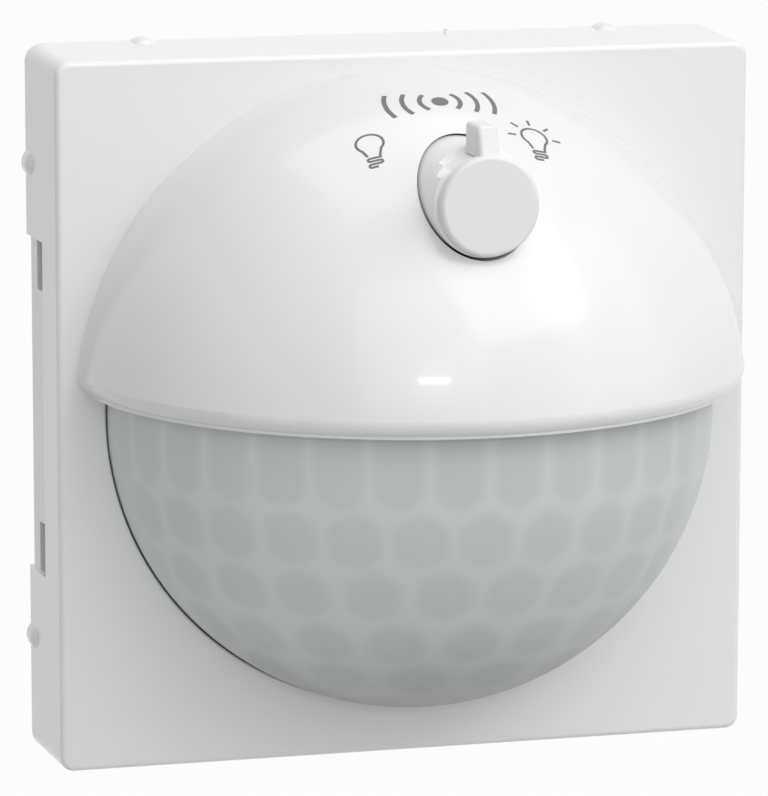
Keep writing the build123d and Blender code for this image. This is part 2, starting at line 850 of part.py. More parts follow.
def make_sensor_board(side):
    half = sensor_board_half
    board = block(-half, half, 0, sensor_board_thickness, -half, half)
    for x, z in sensor_pin_places():
        board = board - rod(sensor_pin_radius + socket_fit, -over, sensor_board_thickness + over, x, z)
    return sensor_frame(side) * board


def make_sensor_holder():
    """A wedge on the main board that carries both sensor boards at their angle."""
    turn = radians(sensor_yaw)
    centre_x = sensor_side - sensor_board_thickness * sin(turn)
    centre_y = ahead(sensor_ahead) + sensor_board_thickness * cos(turn)
    apex_y = centre_y - centre_x * tan(turn)
    foot_x = centre_x + (board_front_y - centre_y) / tan(turn)
    inner_apex_y = apex_y + holder_wall / cos(turn)
    inner_foot_x = foot_x - holder_wall / sin(turn)
    outline = [(-foot_x, board_front_y), (0, apex_y), (foot_x, board_front_y)]
    hollow = [(-inner_foot_x, board_front_y), (0, inner_apex_y), (inner_foot_x, board_front_y)]
    wedge = prism_along_z(outline, dome_rise - holder_half_height, dome_rise + holder_half_height)
    inside_half = holder_half_height - holder_wall
    wedge = wedge - prism_along_z(hollow, dome_rise - inside_half, dome_rise + inside_half)
    pin_reach = sensor_board_thickness + sensor_pin_tail + holder_pin_gap
    for side in (-1, 1):
        for x, z in sensor_pin_places():
            hole = rod(sensor_pin_radius + holder_pin_gap, 0, pin_reach, x, z)
            wedge = wedge - sensor_frame(side) * hole
    return wedge


def make_link_pins():
    """Pins that join each sensor board to the main board, just below the wedge."""
    half = link_pin_size / 2
    z = dome_rise - holder_half_height - holder_gap - half
    pins = []
    for side in (-1, 1):
        behind = sensor_frame(side) * block(-far, far, sensor_board_thickness, far, -far, far)
        for step in range(link_pin_count):
            x = side * (link_pin_side - step * link_pin_pitch)
            pins.append(block(x - half, x + half, ahead(far), board_front_y, z - half, z + half) & behind)
    return group(pins)


def lamp(radius, flange_radius, length, x, z):
    """A round-nosed lens body with a flange, standing on the board."""
    nose_y = board_front_y - length + radius
    body = rod(radius, nose_y, board_front_y, x, z) + Pos(x, nose_y, z) * Sphere(radius)
    return body + rod(flange_radius, board_front_y - lamp_flange_height, board_front_y, x, z)


def capacitor(radius, length, x, z):
    """A can with a rolled groove near its foot."""
    groove_y = board_front_y - radius * groove_place_share
    half_groove = radius * groove_width_share / 2
    body = rod(radius, board_front_y - length, board_front_y, x, z)
    groove = tube(radius + over, radius * groove_floor_share, groove_y - half_groove, groove_y + half_groove,
                  x, z)
    return body - groove


def chip(half_width, half_height, thickness, x, z, legs):
    body = block(x - half_width, x + half_width, board_front_y - thickness,
                 board_front_y - chip_leg_thickness / 2, z - half_height, z + half_height)
    shapes = [body]
    for side in (-1, 1):
        for step in range(legs):
            leg_x = x + (step - (legs - 1) / 2) * chip_leg_pitch
            z0 = z + side * (half_height - chip_leg_thickness)
            z1 = z + side * (half_height + chip_leg_reach)
            shapes.append(block(leg_x - chip_leg_width / 2, leg_x + chip_leg_width / 2,
                                board_front_y - chip_leg_thickness, board_front_y, z0, z1))
    return joined(shapes)


def make_crystal():
    """A flat-ended metal can."""
    top_y = board_front_y - crystal_height
    can = block(crystal_x - crystal_half, crystal_x + crystal_half, top_y, board_front_y,
                controller_z - crystal_half, controller_z + crystal_half)
    for side in (-1, 1):
        can = can + rod(crystal_half, top_y, board_front_y, crystal_x + side * crystal_half, controller_z)
    return can


def make_small_parts():
    """A short column of small chip parts on each side of the board, between its screws."""
    parts = []
    for side in (-1, 1):
        for step in range(small_part_count):
            x = side * board_screw_x
            z = (step - (small_part_count - 1) / 2) * small_part_pitch
            parts.append(block(x - small_part_length / 2, x + small_part_length / 2,
                               board_front_y - small_part_height, board_front_y,
                               z - small_part_width / 2, z + small_part_width / 2))
    return group(parts)


# Adjusters

def adjuster_place(index):
    return (index - (adjuster_count - 1) / 2) * adjuster_pitch


def make_adjuster_body(index):
    x = adjuster_place(index)
    top_y = board_rear_y + adjuster_height
    body = block(x - adjuster_half, x + adjuster_half, board_rear_y, top_y, adjuster_z - adjuster_half,
                 adjuster_z + adjuster_half)
    return body - rod(adjuster_rotor_radius + adjuster_fit, top_y - adjuster_bore_depth, top_y + over,
                      x, adjuster_z)


def make_adjuster_rotor(index):
    x = adjuster_place(index)
    low_y = board_rear_y + adjuster_height - adjuster_bore_depth + adjuster_fit
    top_y = low_y + adjuster_rotor_height
    rotor = rod(adjuster_rotor_radius, low_y, top_y, x, adjuster_z)
    slot_half = adjuster_rotor_radius + over
    slot = block(x - slot_half, x + slot_half, top_y - adjuster_slot_depth, top_y + over,
                 adjuster_z - adjuster_slot_width / 2, adjuster_z + adjuster_slot_width / 2)
    return rotor - slot


# Plug connector

def plug_places():
    places = []
    for column in range(plug_columns):
        for row in range(plug_rows):
            x = (column - (plug_columns - 1) / 2) * plug_pitch
            z = plug_z + (row - (plug_rows - 1) / 2) * plug_pitch
            places.append((x, z))
    return places


def make_plug_base():
    """The moulded block that holds the pins; it reaches out through the rear cover."""
    half_x = plug_columns * plug_pitch / 2 + plug_base_margin
    half_z = plug_rows * plug_pitch / 2 + plug_base_margin
    base = block(-half_x, half_x, board_rear_y, plug_base_reach, plug_z - half_z, plug_z + half_z)
    for x, z in plug_places():
        half = plug_pin_size / 2 + socket_fit
        base = base - block(x - half, x + half, board_rear_y - over, plug_base_reach + over,
                            z - half, z + half)
    return base


def make_plug_pins():
    half = plug_pin_size / 2
    pins = []
    for x, z in plug_places():
        pins.append(block(x - half, x + half, board_front_y - plug_pin_tail, plug_pin_reach,
                          z - half, z + half))
    return group(pins)


# Rear cover: flat rear face, posts for the board, snap hooks, locating pegs

def hook(side, z):
    """A snap hook on the rear cover whose nose sits in the skirt's latch window."""
    outer = cavity_half - hook_gap
    inner = outer - hook_thickness
    tip_y = -relief_front + hook_clearance
    nose_y = -relief_front + window_width - hook_clearance
    flat_y = tip_y + hook_nose
    outline = [(side * inner, cover_inner_y),
               (side * outer, cover_inner_y),
               (side * outer, nose_y),
               (side * (outer + hook_nose), nose_y),
               (side * (outer + hook_nose), flat_y),
               (side * outer, tip_y),
               (side * inner, tip_y)]
    return prism_along_z(outline, z - hook_width / 2, z + hook_width / 2)


def make_rear_cover():
    half = cavity_half - rear_cover_gap
    outline = Plane.XZ * RectangleRounded(half * 2, half * 2, rear_cover_corner)
    cover = extrude(outline, amount=rear_cover_thickness)
    for x, z in four_corners(board_screw_x, board_screw_z):
        cover = cover + rod(post_radius, board_rear_y, cover_inner_y, x, z)
    for side in (-1, 1):
        for z_side in (-1, 1):
            cover = cover + hook(side, z_side * window_offset)
        cover = cover + rod(peg_radius, 0, peg_length, side * peg_x, peg_z)
    for x, z in four_corners(board_screw_x, board_screw_z):
        depth_y = board_front_y + screw_length + screw_hole_gap
        cover = cover - rod(screw_radius, board_rear_y - over, depth_y, x, z)
    room = adjuster_half + adjuster_access_gap
    room_y = board_rear_y + adjuster_height + adjuster_recess_gap
    for index in range(adjuster_count):
        x = adjuster_place(index)
        access = adjuster_rotor_radius + adjuster_access_gap
        cover = cover - rod(access, cover_inner_y - over, over, x, adjuster_z)
        cover = cover - block(x - room, x + room, board_rear_y, room_y, adjuster_z - room, adjuster_z + room)
    half_x = plug_columns * plug_pitch / 2 + plug_base_margin + plug_gap
    half_z = plug_rows * plug_pitch / 2 + plug_base_margin + plug_gap
    cover = cover - block(-half_x, half_x, cover_inner_y - over, over, plug_z - half_z, plug_z + half_z)
    for x, z in four_corners(corner_screw_offset, corner_screw_offset):
        cover = cover - rod(screw_radius + screw_hole_gap, cover_inner_y - over, over, x, z)
        cover = cover - rod(screw_head_radius + head_gap, cover_screw_y, over, x, z)
    return cover


def make_cover_screws():
    places = four_corners(corner_screw_offset, corner_screw_offset)
    return group([screw(x, z, cover_screw_y, long_screw_length) for x, z in places])


# Node list

adjuster_names = ("sensitivity", "brightness", "time")

pieces = {
    "front_cover": make_front_cover(),
    "lens": make_lens(),
    "lens_clamp_ring": make_clamp_ring(),
    "lens_clamp_screws": make_ring_screws(),
    "knob_body": make_knob_body(),
    "knob_cap": make_knob_cap(),
    "knob_spindle": make_spindle(),
    "spindle_clip": make_spindle_clip(),
    "switch_base": make_switch_base(),
    "switch_cover": make_switch_cover(),
    "wiper_carrier": make_rotor(),
    "wiper_contact": make_wiper(),
    "switch_contacts": make_contacts(),
    "detent_spring": make_detent_spring(),
    "main_board": make_board(),
    "board_screws": make_board_screws(),
    "sensor_holder": make_sensor_holder(),
    "sensor_link_pins": make_link_pins(),
    "light_sensor": lamp(light_sensor_radius, light_sensor_radius, light_sensor_length, -lamp_x, lamp_z),
    "test_lamp": lamp(lamp_body_radius, lamp_flange_radius, lamp_length, lamp_x, lamp_z),
    "capacitor_large": capacitor(capacitor_radius, capacitor_length, capacitor_x, capacitor_z),
    "capacitor_small": capacitor(capacitor_small_radius, capacitor_small_length, capacitor_small_x,
                                 capacitor_z),
    "controller_chip": chip(controller_half_width, controller_half_height, controller_thickness, 0,
                            controller_z, controller_leg_count),
    "amplifier_chip": chip(chip_half_width, chip_half_height, chip_thickness, chip_x, controller_z,
                           chip_leg_count),
    "crystal": make_crystal(),
    "small_chip_parts": make_small_parts(),
    "plug_base": make_plug_base(),
    "plug_pins": make_plug_pins(),
    "rear_cover": make_rear_cover(),
    "rear_cover_screws": make_cover_screws(),
}
for side, word in ((-1, "left"), (1, "right")):
    pieces["sensor_board_" + word] = make_sensor_board(side)
    pieces["sensor_can_" + word] = make_sensor_can(side)
    pieces["sensor_window_" + word] = make_sensor_window(side)
    pieces["sensor_pins_" + word] = make_sensor_pins(side)
for index, word in enumerate(adjuster_names):
    pieces["adjuster_body_" + word] = make_adjuster_body(index)
    pieces["adjuster_rotor_" + word] = make_adjuster_rotor(index)

os.makedirs("parts", exist_ok=True)
for name, shape in pieces.items():
    export_step(shape, f"parts/{name}.step")
    print(name, len(shape.solids()), round(shape.volume, 2))
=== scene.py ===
import json
import math

import bpy
from mathutils import Matrix, Vector


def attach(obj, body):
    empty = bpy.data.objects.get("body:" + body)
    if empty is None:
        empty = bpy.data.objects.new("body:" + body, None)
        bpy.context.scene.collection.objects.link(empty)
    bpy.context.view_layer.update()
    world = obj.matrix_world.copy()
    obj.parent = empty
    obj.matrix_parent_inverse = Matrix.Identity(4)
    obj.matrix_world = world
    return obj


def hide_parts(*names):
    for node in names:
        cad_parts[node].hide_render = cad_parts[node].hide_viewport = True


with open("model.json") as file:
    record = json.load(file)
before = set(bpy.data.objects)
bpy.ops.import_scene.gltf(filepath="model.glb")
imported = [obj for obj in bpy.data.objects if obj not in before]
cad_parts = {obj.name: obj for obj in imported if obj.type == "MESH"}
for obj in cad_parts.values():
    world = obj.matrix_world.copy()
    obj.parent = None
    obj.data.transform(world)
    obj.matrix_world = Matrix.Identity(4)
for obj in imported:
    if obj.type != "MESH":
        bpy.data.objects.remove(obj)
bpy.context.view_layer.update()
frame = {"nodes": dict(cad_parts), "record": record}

MM = 0.001

# Sizes shared with the solids, in metres
SKIRT_DEPTH = 12.6 * MM
DOME_RISE = 0.4 * MM
HOOD_RADIUS = 33.9 * MM
LENS_RADIUS = 30.55 * MM
LENS_WALL = 1.1 * MM
LENS_FLANGE_RADIUS = 32.65 * MM
LENS_FLANGE_FRONT = -10.55 * MM
LENS_FLANGE_REAR = -9.55 * MM
LENS_TOP = 5.25 * MM
FRONT_Y = -SKIRT_DEPTH

# Rows of lens cells: elevation and pitch in degrees, offset as a share of the pitch, half height of
# the straight sides in degrees, and how many times narrower the cells are
CELL_ROWS = (
    (-0.5, 10.9, 0.45, 4.0, 1.15),
    (-15.9, 12.45, -0.04, 0.0, 1.04),
    (-27.8, 14.7, 0.47, 0.0, 1.0),
    (-40.2, 17.8, 0.0, 0.0, 1.0),
    (-52.3, 24.4, 0.5, 0.0, 1.0),
)

# Degrees from the middle of a cell where its floor ends and where the ridge starts
CELL_INSIDE = 3.5
CELL_OUTSIDE = 6.8

# Direction of the slanted sides of a cell
HEXAGON = (math.cos(math.radians(60.0)), math.sin(math.radians(60.0)))

# Degrees of azimuth that the cells cover, and over which they fade out at both ends
CELL_AZIMUTH_MIDDLE = -12.0
CELL_AZIMUTH_LIMIT = 74.0
CELL_AZIMUTH_FADE = 14.0

# Degrees of elevation over which the pale ridges fade out under the hood
RIDGE_FADE_FROM = 1.5
RIDGE_FADE_TO = 6.0

# Depth of the cells outside and inside, in metres
CELL_RELIEF = 0.035 * MM
CELL_HOLLOW = 0.25 * MM

# Camera, as fitted to the photograph: angles in degrees, lengths in metres, focal length in pixels
# and, in millimetres, the side of the sensor that spans the photograph's height
CAMERA_AZIMUTH = -15.313
CAMERA_ELEVATION = 10.415
CAMERA_ROLL = 0.064
CAMERA_DISTANCE = 543.055 * MM
CAMERA_RIGHT = 1.061 * MM
CAMERA_UP = -1.5 * MM
FOCAL_PIXELS = 5311.0
PHOTO_HEIGHT = 796
SENSOR = 36.0
CLIP_START = 0.01

# Colours of the large surfaces
WHITE = (0.835, 0.842, 0.840)
# The knob body's white is lighter than the cover's and the cap's: painted light on the knob's sides
KNOB_PAINTED_LIGHT_WHITE = (0.955, 0.957, 0.950)
LENS_RIDGE = (0.740, 0.773, 0.760, 1.0)
LENS_CELL = (0.670, 0.706, 0.689, 1.0)

# Painted shade on the lens: darker at its foot, which faces down, under the hood, where the hood's shadow
# falls,
# and at its front: share of its colour left there, and the angles in degrees between which it changes
LENS_FOOT_PAINTED_SHADE = 0.42
LENS_FOOT_PAINTED_SHADE_ANGLES = (-80.0, -30.0)
LENS_HOOD_PAINTED_SHADOW = 0.80
LENS_HOOD_PAINTED_SHADOW_ANGLES = (2.0, 7.0)
LENS_FRONT_PAINTED_SHADE = 0.89
LENS_FRONT_PAINTED_SHADE_ANGLES = (-48.0, 5.0)

# Finish of the lens
LENS_ROUGHNESS = 0.42
LENS_SPECULAR = 0.3
LENS_SUBSURFACE = 0.3
LENS_SCATTER = (1.2 * MM, 1.2 * MM, 1.1 * MM)
LENS_CLOUD_SCALE = 140.0
LENS_CLOUD_WEIGHT = 0.5
LENS_GRAIN_SCALE = 1800.0
LENS_GRAIN = 0.04

# Noise that all surfaces share
CLOUD_DETAIL = 3.0
WEAR_DETAIL = 4.0
WEAR_FINENESS = 4.0
GRAIN_DETAIL = 2.0
GRAIN_HEIGHT = 0.02 * MM


# Materials

def adder(tree):
    """A helper that adds a node to the tree, sets it up, and links or sets its inputs."""

    def add(kind, inputs=None, **settings):
        node = tree.nodes.new(kind)
        for key, value in settings.items():
            setattr(node, key, value)
        for key, value in (inputs or {}).items():
            if isinstance(value, bpy.types.NodeSocket):
                tree.links.new(value, node.inputs[key])
            else:
                node.inputs[key].default_value = value
        return node

    return add


def nodes_of(name):
    """A new node material with its shader, and a helper that adds linked nodes."""
    material = bpy.data.materials.new(name)
    material.use_nodes = True
    tree = material.node_tree
    return material, tree, tree.nodes["Principled BSDF"], adder(tree)


def shade(colour, factor):
    """The colour made lighter or darker, with full alpha."""
    return tuple(min(1.0, c * factor) for c in colour) + (1.0,)


def grained(add, place, scale, strength):
    """A normal roughened by fine grain."""
    fine = add("ShaderNodeTexNoise", {"Vector": place, "Scale": scale, "Detail": GRAIN_DETAIL})
    bump = add("ShaderNodeBump", {"Height": fine.outputs["Fac"], "Strength": strength,
                                  "Distance": GRAIN_HEIGHT})
    return bump.outputs["Normal"]


def surface(name, colour, roughness, mottle=0.02, mottle_scale=90.0, grain=0.05, grain_scale=2600.0,
            metallic=0.0, coat=0.0, rough_spread=0.04):
    """A moulded or metal surface: cloudy colour, uneven gloss and a fine grain."""
    material, tree, shader, add = nodes_of(name)
    place = add("ShaderNodeTexCoord").outputs["Object"]
    cloud = add("ShaderNodeTexNoise", {"Vector": place, "Scale": mottle_scale, "Detail": CLOUD_DETAIL})
    tint = add("ShaderNodeMix", {"Factor": cloud.outputs["Fac"]}, data_type="RGBA")
    tint.inputs["A"].default_value = shade(colour, 1.0 - mottle)
    tint.inputs["B"].default_value = shade(colour, 1.0 + mottle)
    tree.links.new(tint.outputs["Result"], shader.inputs["Base Color"])
    wear = add("ShaderNodeTexNoise", {"Vector": place, "Scale": mottle_scale * WEAR_FINENESS,
                                      "Detail": WEAR_DETAIL})
    gloss = add("ShaderNodeMapRange", {"Value": wear.outputs["Fac"], "To Min": roughness - rough_spread,
                                       "To Max": roughness + rough_spread})
    tree.links.new(gloss.outputs["Result"], shader.inputs["Roughness"])
    tree.links.new(grained(add, place, grain_scale, grain), shader.inputs["Normal"])
    shader.inputs["Metallic"].default_value = metallic
    shader.inputs["Coat Weight"].default_value = coat
    return material


def lens_surface():
    """Milky grey-green plastic, darker inside each moulded cell than on the ridges between them, with
    painted shade at its foot, under the hood and at its front.
    """
    material, tree, shader, add = nodes_of("lens_milky")
    place = add("ShaderNodeTexCoord").outputs["Object"]
    from_centre = add("ShaderNodeVectorMath", {0: place, 1: (0.0, FRONT_Y, DOME_RISE)},
                      operation="SUBTRACT").outputs["Vector"]
    split = add("ShaderNodeSeparateXYZ", {0: from_centre})

    def maths(operation, a, b=0.0):
        """The result of one operation on values or outputs."""
        return add("ShaderNodeMath", {0: a, 1: b}, operation=operation).outputs["Value"]

    def change(value, ends, before, after, kind="SMOOTHSTEP"):
        """A value that goes from before to after between two ends."""
        ramp = add("ShaderNodeMapRange", {"Value": value, "From Min": ends[0], "From Max": ends[1],
                                          "To Min": before, "To Max": after}, interpolation_type=kind)
        return ramp.outputs["Result"]

    ahead = maths("MULTIPLY", split.outputs["Y"], -1.0)
    turn = maths("ARCTAN2", split.outputs["X"], ahead)
    flat = maths("SQRT", maths("ADD", maths("MULTIPLY", split.outputs["X"], split.outputs["X"]),
                               maths("MULTIPLY", ahead, ahead)))
    rise = maths("ARCTAN2", split.outputs["Z"], flat)
    azimuth = maths("MULTIPLY", turn, math.degrees(1.0))
    elevation = maths("MULTIPLY", rise, math.degrees(1.0))
    shrink = maths("COSINE", rise)
    cover = 0.0
    for row_elevation, pitch, offset, straight_half, narrower in CELL_ROWS:
        steps = maths("SUBTRACT", maths("DIVIDE", azimuth, pitch), offset)
        away = maths("MULTIPLY", maths("SUBTRACT", steps, maths("ROUND", steps)), pitch)
        across = maths("MULTIPLY", maths("MULTIPLY", away, shrink), narrower)
        beyond = maths("ABSOLUTE", maths("SUBTRACT", elevation, row_elevation))
        down = maths("MAXIMUM", maths("SUBTRACT", beyond, straight_half), 0.0)
        aside = maths("ABSOLUTE", across)
        slanted = maths("ADD", maths("MULTIPLY", aside, HEXAGON[0]), maths("MULTIPLY", down, HEXAGON[1]))
        squares = maths("ADD", maths("MULTIPLY", across, across), maths("MULTIPLY", down, down))
        both = maths("ADD", maths("SQRT", squares), maths("MAXIMUM", aside, slanted))
        far = maths("MULTIPLY", both, 0.5)
        cover = maths("MAXIMUM", cover, change(far, (CELL_INSIDE, CELL_OUTSIDE), 1.0, 0.0))
    from_middle = maths("ABSOLUTE", maths("SUBTRACT", azimuth, CELL_AZIMUTH_MIDDLE))
    fade = (CELL_AZIMUTH_LIMIT - CELL_AZIMUTH_FADE, CELL_AZIMUTH_LIMIT)
    cover = maths("MULTIPLY", cover, change(from_middle, fade, 1.0, 0.0, kind="LINEAR"))
    cover = maths("MAXIMUM", cover, change(elevation, (RIDGE_FADE_FROM, RIDGE_FADE_TO), 0.0, 1.0))
    cloud = add("ShaderNodeTexNoise", {"Vector": place, "Scale": LENS_CLOUD_SCALE,
                                       "Detail": CLOUD_DETAIL}).outputs["Fac"]
    depth = maths("ADD", cover, maths("MULTIPLY", maths("SUBTRACT", cloud, 0.5), LENS_CLOUD_WEIGHT))
    tint = add("ShaderNodeMix", {"Factor": depth}, data_type="RGBA", clamp_factor=True)
    tint.inputs["A"].default_value = LENS_RIDGE
    tint.inputs["B"].default_value = LENS_CELL
    # Painted shade: the colour is darkened at the foot, in the hood's shadow and towards the front
    painted_shade_share = maths("MULTIPLY", change(elevation, LENS_FOOT_PAINTED_SHADE_ANGLES, LENS_FOOT_PAINTED_SHADE, 1.0),
                 change(elevation, LENS_HOOD_PAINTED_SHADOW_ANGLES, 1.0, LENS_HOOD_PAINTED_SHADOW))
    painted_shade_share = maths("MULTIPLY", painted_shade_share, change(azimuth, LENS_FRONT_PAINTED_SHADE_ANGLES, 1.0, LENS_FRONT_PAINTED_SHADE))
    painted_shade_mix = add("ShaderNodeMix", {"Factor": 1.0}, data_type="RGBA", blend_type="MULTIPLY")
    tree.links.new(tint.outputs["Result"], painted_shade_mix.inputs["A"])
    tree.links.new(painted_shade_share, painted_shade_mix.inputs["B"])
    tree.links.new(painted_shade_mix.outputs["Result"], shader.inputs["Base Color"])
    tree.links.new(grained(add, place, LENS_GRAIN_SCALE, LENS_GRAIN), shader.inputs["Normal"])
    shader.inputs["Roughness"].default_value = LENS_ROUGHNESS
    shader.inputs["Specular IOR Level"].default_value = LENS_SPECULAR
    shader.inputs["Subsurface Weight"].default_value = LENS_SUBSURFACE
    shader.inputs["Subsurface Radius"].default_value = LENS_SCATTER
    shader.inputs["Subsurface Scale"].default_value = 1.0
    return material


# Material of each slot: name, colour and roughness
MATERIALS = {
    "cover_plastic": surface("cover_white_gloss", WHITE, 0.22, mottle=0.006, grain=0.03, coat=0.3),
    "lens_plastic": lens_surface(),
    "clamp_plastic": surface("clamp_white", (0.72, 0.72, 0.70), 0.45),
    # Knob body: white painted lighter, as light falling on its sides
    "knob_plastic": surface("knob_white_painted_light", KNOB_PAINTED_LIGHT_WHITE, 0.30, mottle=0.006, grain=0.04),
    "knob_cap_plastic": surface("knob_cap_white", WHITE, 0.36, mottle=0.008, grain=0.08),
    "spindle_plastic": surface("spindle_white", (0.66, 0.66, 0.63), 0.45),
    "switch_plastic": surface("switch_black", (0.018, 0.018, 0.02), 0.5),
    "carrier_plastic": surface("carrier_ivory", (0.50, 0.48, 0.40), 0.5),
    "contact_metal": surface("contact_brass", (0.72, 0.52, 0.20), 0.3, metallic=1.0, mottle=0.08),
    "spring_steel": surface("spring_steel", (0.62, 0.62, 0.63), 0.28, metallic=1.0, mottle=0.06),
    "screw_steel": surface("screw_zinc", (0.66, 0.66, 0.65), 0.32, metallic=1.0, mottle=0.10,
                           mottle_scale=400.0),
    "board_laminate": surface("board_green", (0.020, 0.115, 0.045), 0.38, mottle=0.16,
                              mottle_scale=300.0),
    "sensor_board_laminate": surface("sensor_board_green", (0.022, 0.120, 0.050), 0.38, mottle=0.14,
                                     mottle_scale=300.0),
    "holder_plastic": surface("holder_black", (0.012, 0.012, 0.012), 0.5),
    "can_metal": surface("can_nickel", (0.68, 0.67, 0.63), 0.22, metallic=1.0, mottle=0.05),
    "window_dark": surface("window_dark", (0.015, 0.016, 0.020), 0.08, grain=0.0),
    "pin_metal": surface("pin_tinned", (0.74, 0.66, 0.40), 0.25, metallic=1.0, mottle=0.08),
    "light_sensor_resin": surface("light_sensor_resin", (0.030, 0.024, 0.030), 0.1),
    "lamp_resin": surface("lamp_red", (0.45, 0.02, 0.015), 0.12),
    "capacitor_sleeve": surface("capacitor_sleeve", (0.014, 0.018, 0.05), 0.35),
    "chip_resin": surface("chip_black", (0.012, 0.012, 0.012), 0.55),
    "crystal_can": surface("crystal_can", (0.72, 0.72, 0.71), 0.18, metallic=1.0),
    "small_part_ceramic": surface("ceramic_tan", (0.27, 0.18, 0.10), 0.45),
    "plug_plastic": surface("plug_black", (0.014, 0.014, 0.014), 0.45),
    "rear_plastic": surface("rear_grey", (0.085, 0.088, 0.092), 0.5, mottle=0.05, grain=0.35,
                            grain_scale=1800.0),
    "adjuster_plastic": surface("adjuster_blue", (0.020, 0.050, 0.20), 0.4),
    "adjuster_rotor_plastic": surface("adjuster_white", (0.70, 0.70, 0.66), 0.4),
}

INK = surface("printed_grey_ink", (0.155, 0.155, 0.160), 0.5, mottle=0.05, grain=0.1)

for entry in frame["record"]["subparts"]:
    node = frame["nodes"][entry["node"]]
    for slot in node.material_slots:
        slot.material = MATERIALS[entry["material_slot"]]


# Meshes

def new_object(name, points, faces, material, smooth=True):
    """An object made of points and faces, with one material."""
    mesh = bpy.data.meshes.new(name)
    mesh.from_pydata(points, [], faces)
    mesh.validate()
    mesh.update()
    if smooth:
        mesh.shade_smooth()
    thing = bpy.data.objects.new(name, mesh)
    bpy.context.scene.collection.objects.link(thing)
    mesh.materials.append(material)
    return thing


# Printed marks on the hood

INK_PROUD = 0.02 * MM
INK_SINK = 0.04 * MM
PAD_ELEVATION = 60.0
BULB_STROKE = 0.25 * MM
RAY_STROKE = 0.25 * MM
WAVE_STROKE = 0.46 * MM
STROKE_CORNERS = 4

# The bulb, measured from the middle of its glass
BULB_RADIUS = 1.30 * MM
GLASS_STEPS = 72
GLASS_OPENING = 44.0
NECK_HALF = 0.60 * MM
NECK_FOOT = -1.85 * MM
CAP_TOP = -2.18 * MM
CAP_HALF = 0.47 * MM
CAP_TURN = 0.20 * MM
CAP_LAST_HALF = 0.15 * MM
CAP_STEPS = 16

# Rays around a lit bulb
RAY_ANGLES = (0, 45, 90, 135, 180)
RAY_INNER = 1.90 * MM
RAY_OUTER = 2.75 * MM

# The sensing mark: radius and half angle in degrees of each pair of arcs, and a dot in the middle,
# drawn by a round stroke so wide that it closes over its centre
WAVES = ((2.0 * MM, 46), (3.7 * MM, 32), (5.4 * MM, 24))
DOT_STROKE_RADIUS = 0.42 * MM
DOT_STEPS = 30
DOT_LAST_ANGLE = 348.0

# Middle of each mark on the flat printing pad
LAMP_OFF_PLACE = (-8.33 * MM, -0.10 * MM)
LAMP_ON_PLACE = (8.12 * MM, -0.10 * MM)
SENSING_PLACE = (-0.10 * MM, 5.30 * MM)


def on_hood(u, w, radius):
    """A point of a mark, carried square onto the hood from a flat pad that faces forward and up."""
    tilt = math.radians(PAD_ELEVATION)
    ahead = math.sqrt(radius * radius - u * u - w * w)
    y = w * math.sin(tilt) - ahead * math.cos(tilt)
    z = w * math.cos(tilt) + ahead * math.sin(tilt)
    return (u, FRONT_Y + y, DOME_RISE + z)


def ribbon(path, width, closed=False):
    """A thin inked stroke along a path of (u, w) points."""
    count = len(path)
    points = []
    for i, (u, w) in enumerate(path):
        before = path[(i - 1) % count] if closed or i else path[0]
        after = path[(i + 1) % count] if closed or i < count - 1 else path[-1]
        along = Vector((after[0] - before[0], after[1] - before[1])).normalized()
        side = Vector((-along.y, along.x)) * width / 2
        for sign, radius in ((1, HOOD_RADIUS + INK_PROUD), (-1, HOOD_RADIUS + INK_PROUD),
                             (-1, HOOD_RADIUS - INK_SINK), (1, HOOD_RADIUS - INK_SINK)):
            points.append(on_hood(u + sign * side.x, w + sign * side.y, radius))
    faces = []
    steps = count if closed else count - 1
    for i in range(steps):
        a = STROKE_CORNERS * i
        b = STROKE_CORNERS * ((i + 1) % count)
        for k in range(STROKE_CORNERS):
            following = (k + 1) % STROKE_CORNERS
            faces.append((a + k, b + k, b + following, a + following))
    if not closed:
        last = STROKE_CORNERS * (count - 1)
        faces.append((0, 1, 2, 3))
        faces.append((last + 3, last + 2, last + 1, last))
    return points, faces


def arc(centre, radius, start, end, steps=36):
    """Points of a circular arc in degrees."""
    turn = [math.radians(start + (end - start) * i / steps) for i in range(steps + 1)]
    return [(centre[0] + radius * math.cos(t), centre[1] + radius * math.sin(t)) for t in turn]


def straight(start, end, steps=8):
    """Points along a straight line."""
    return [(start[0] + (end[0] - start[0]) * i / steps, start[1] + (end[1] - start[1]) * i / steps)
            for i in range(steps + 1)]


def mark(name, strokes, place):
    """One printed mark, from strokes of (points, width, closed)."""
    points = []
    faces = []
    for path, width, closed in strokes:
        shifted = [(place[0] + u, place[1] + w) for u, w in path]
        more, more_faces = ribbon(shifted, width, closed)
        first = len(points)
        points.extend(more)
        faces.extend([tuple(first + i for i in face) for face in more_faces])
    thing = new_object(name, points, faces, INK, smooth=False)
    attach(thing, "housing")


